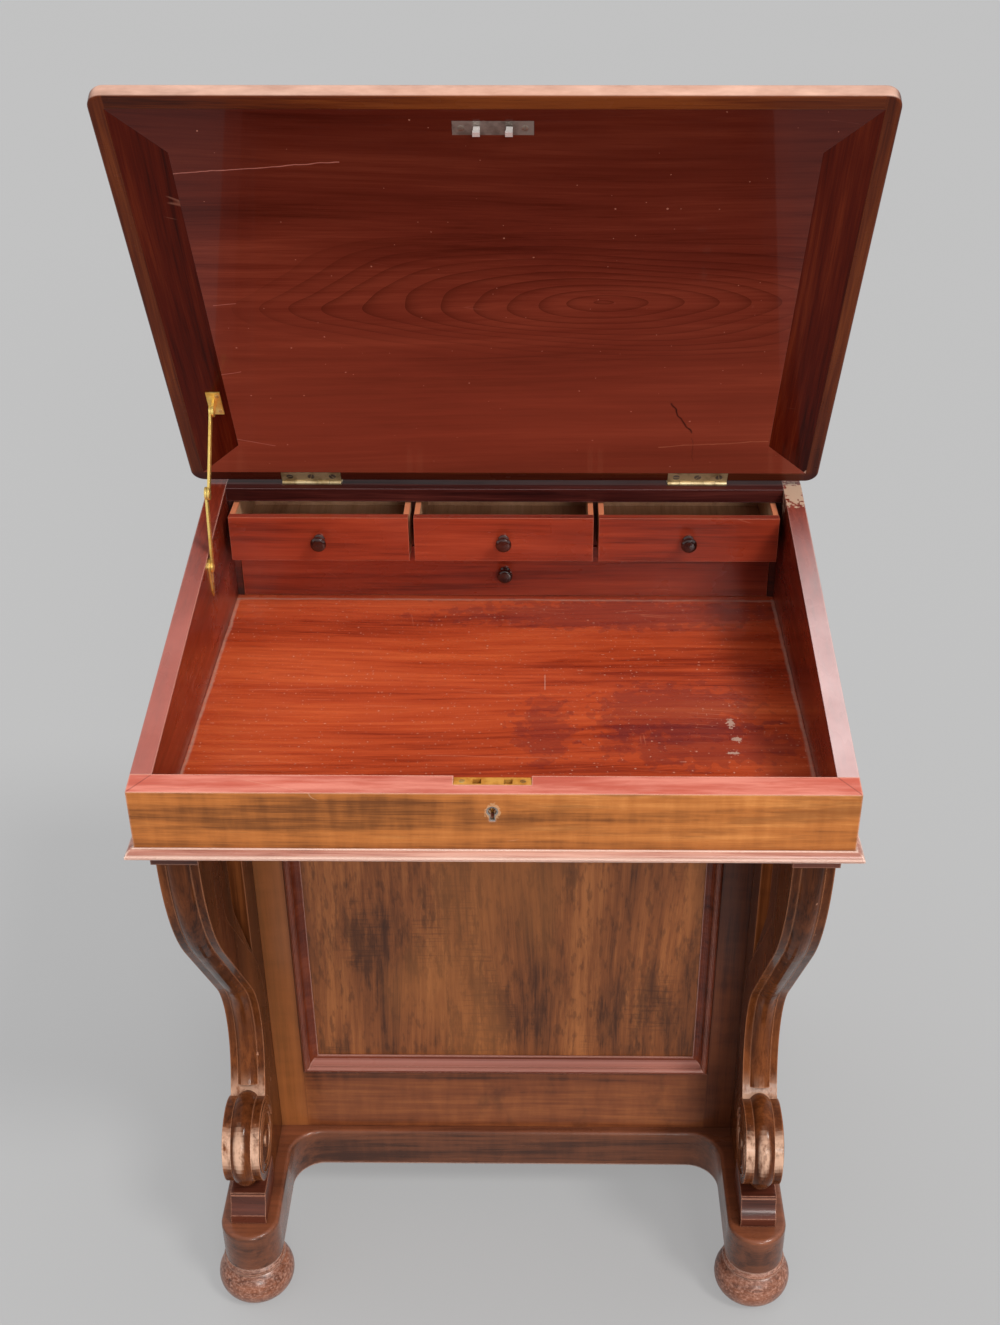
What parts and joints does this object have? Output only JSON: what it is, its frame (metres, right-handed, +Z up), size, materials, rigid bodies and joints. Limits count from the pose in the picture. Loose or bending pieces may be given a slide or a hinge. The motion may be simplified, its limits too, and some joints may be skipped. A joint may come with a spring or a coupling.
{
  "type": "davenport desk",
  "caption": "Small writing desk with a propped sloping lid, an inner bank of drawers, a pedestal of side drawers and scroll legs on a stepped plinth.",
  "frame": {"origin": "middle of the floor area that the desk covers, with the lid open as stored", "axes": "+X to the right of the sitter, +Y away from the sitter, +Z up"},
  "size_m": [0.589, 0.574, 1.1453],
  "materials": {
    "case_walnut": "polished",
    "lid_panel_wood": "gloss",
    "lid_clamp_wood": "gloss",
    "lid_edge_wood": "polished",
    "well_wood": "satin",
    "rail_wood": "polished",
    "bank_wood": "satin",
    "moulding_wood": "polished",
    "drawer_front_wood": "polished",
    "drawer_side_wood": "matte",
    "knob_wood": "gloss",
    "pedestal_walnut": "polished",
    "panel_walnut": "polished",
    "side_drawer_walnut": "polished",
    "runner_wood": "matte",
    "plinth_wood": "polished",
    "leg_wood": "gloss",
    "foot_wood": "worn polish",
    "lock_brass": "aged",
    "hinge_brass": "aged",
    "stay_brass": "bright",
    "steel": "worn"
  },
  "bodies": {
    "desk": {"side_left": "case_walnut", "side_right": "case_walnut", "front_board": "case_walnut", "back_board": "case_walnut", "well_floor": "well_wood", "hinge_rail": "rail_wood", "top_board": "case_walnut", "base_moulding": "moulding_wood", "drawer_bank": "bank_wood", "box_lock": "lock_brass", "keyhole_liner": "lock_brass", "hinge_fixed_leaves": "hinge_brass", "hinge_pins": "steel", "stay_wall_plate": "stay_brass", "front_frame": "pedestal_walnut", "front_panel": "panel_walnut", "front_panel_moulding": "moulding_wood", "left_side_board": "pedestal_walnut", "drawer_frame": "pedestal_walnut", "drawer_runners": "runner_wood", "back_frame": "pedestal_walnut", "back_panel": "panel_walnut", "pedestal_floor": "runner_wood", "dummy_fronts": "side_drawer_walnut", "dummy_knobs": "knob_wood", "plinth": "plinth_wood", "bun_feet": "foot_wood", "leg_left": "leg_wood", "leg_right": "leg_wood", "leg_cap_blocks": "plinth_wood", "leg_step_blocks": "plinth_wood"},
    "lid": {"lid_panel": "lid_panel_wood", "lid_clamps": "lid_clamp_wood", "lid_edge": "lid_edge_wood", "hinge_lid_leaves": "hinge_brass", "lid_striker": "steel", "stay_lid_bracket": "stay_brass"},
    "stay_lower": {"stay_lower_arm": "stay_brass"},
    "stay_upper": {"stay_upper_arm": "stay_brass"},
    "lock_bolt": {"lock_bolt": "steel"},
    "small_drawer_left": {"small_drawer_left_front": "drawer_front_wood", "small_drawer_left_box": "drawer_side_wood", "small_drawer_left_knob": "knob_wood"},
    "small_drawer_middle": {"small_drawer_middle_front": "drawer_front_wood", "small_drawer_middle_box": "drawer_side_wood", "small_drawer_middle_knob": "knob_wood"},
    "small_drawer_right": {"small_drawer_right_front": "drawer_front_wood", "small_drawer_right_box": "drawer_side_wood", "small_drawer_right_knob": "knob_wood"},
    "long_drawer": {"long_drawer_front": "drawer_front_wood", "long_drawer_box": "drawer_side_wood", "long_drawer_knob": "knob_wood"},
    "side_drawer_1": {"side_drawer_1": "side_drawer_walnut", "side_drawer_1_knobs": "knob_wood"},
    "side_drawer_2": {"side_drawer_2": "side_drawer_walnut", "side_drawer_2_knobs": "knob_wood"},
    "side_drawer_3": {"side_drawer_3": "side_drawer_walnut", "side_drawer_3_knobs": "knob_wood"},
    "side_drawer_4": {"side_drawer_4": "side_drawer_walnut", "side_drawer_4_knobs": "knob_wood"}
  },
  "joints": [
    {"name": "lid_hinge", "type": "hinge", "parent": "desk", "child": "lid", "pos_m": [0, 0.141, 0.75033], "axis": [1, 0, 0], "range_deg": [0, 71.5]},
    {"name": "stay_lower_pivot", "type": "hinge", "parent": "desk", "child": "stay_lower", "pos_m": [-0.2595, 0.026, 0.71992], "axis": [1, 0, 0], "range_deg": [-1, 107.56]},
    {"name": "stay_upper_pivot", "type": "hinge", "parent": "lid", "child": "stay_upper", "pos_m": [-0.2595, 0.08058, 0.84516], "axis": [1, 0, 0], "range_deg": [-113.82, 1]},
    {"name": "lock_bolt_slide", "type": "slide", "parent": "desk", "child": "lock_bolt", "axis": [1, 0, 0], "range_m": [0, 0.005]},
    {"name": "small_drawer_left_slide", "type": "slide", "parent": "desk", "child": "small_drawer_left", "axis": [0, -1, 0], "range_m": [-0.042, 0.046]},
    {"name": "small_drawer_middle_slide", "type": "slide", "parent": "desk", "child": "small_drawer_middle", "axis": [0, -1, 0], "range_m": [-0.042, 0.046]},
    {"name": "small_drawer_right_slide", "type": "slide", "parent": "desk", "child": "small_drawer_right", "axis": [0, -1, 0], "range_m": [-0.042, 0.046]},
    {"name": "long_drawer_slide", "type": "slide", "parent": "desk", "child": "long_drawer", "axis": [0, -1, 0], "range_m": [0, 0.088]},
    {"name": "side_drawer_1_slide", "type": "slide", "parent": "desk", "child": "side_drawer_1", "axis": [1, 0, 0], "range_m": [0, 0.3]},
    {"name": "side_drawer_2_slide", "type": "slide", "parent": "desk", "child": "side_drawer_2", "axis": [1, 0, 0], "range_m": [0, 0.3]},
    {"name": "side_drawer_3_slide", "type": "slide", "parent": "desk", "child": "side_drawer_3", "axis": [1, 0, 0], "range_m": [0, 0.3]},
    {"name": "side_drawer_4_slide", "type": "slide", "parent": "desk", "child": "side_drawer_4", "axis": [1, 0, 0], "range_m": [0, 0.3]}
  ],
  "couplings": [
    {"joint": "stay_lower_pivot", "follows": "lid_hinge", "ratio": 1.4904},
    {"joint": "stay_upper_pivot", "follows": "lid_hinge", "ratio": -1.5779}
  ]
}
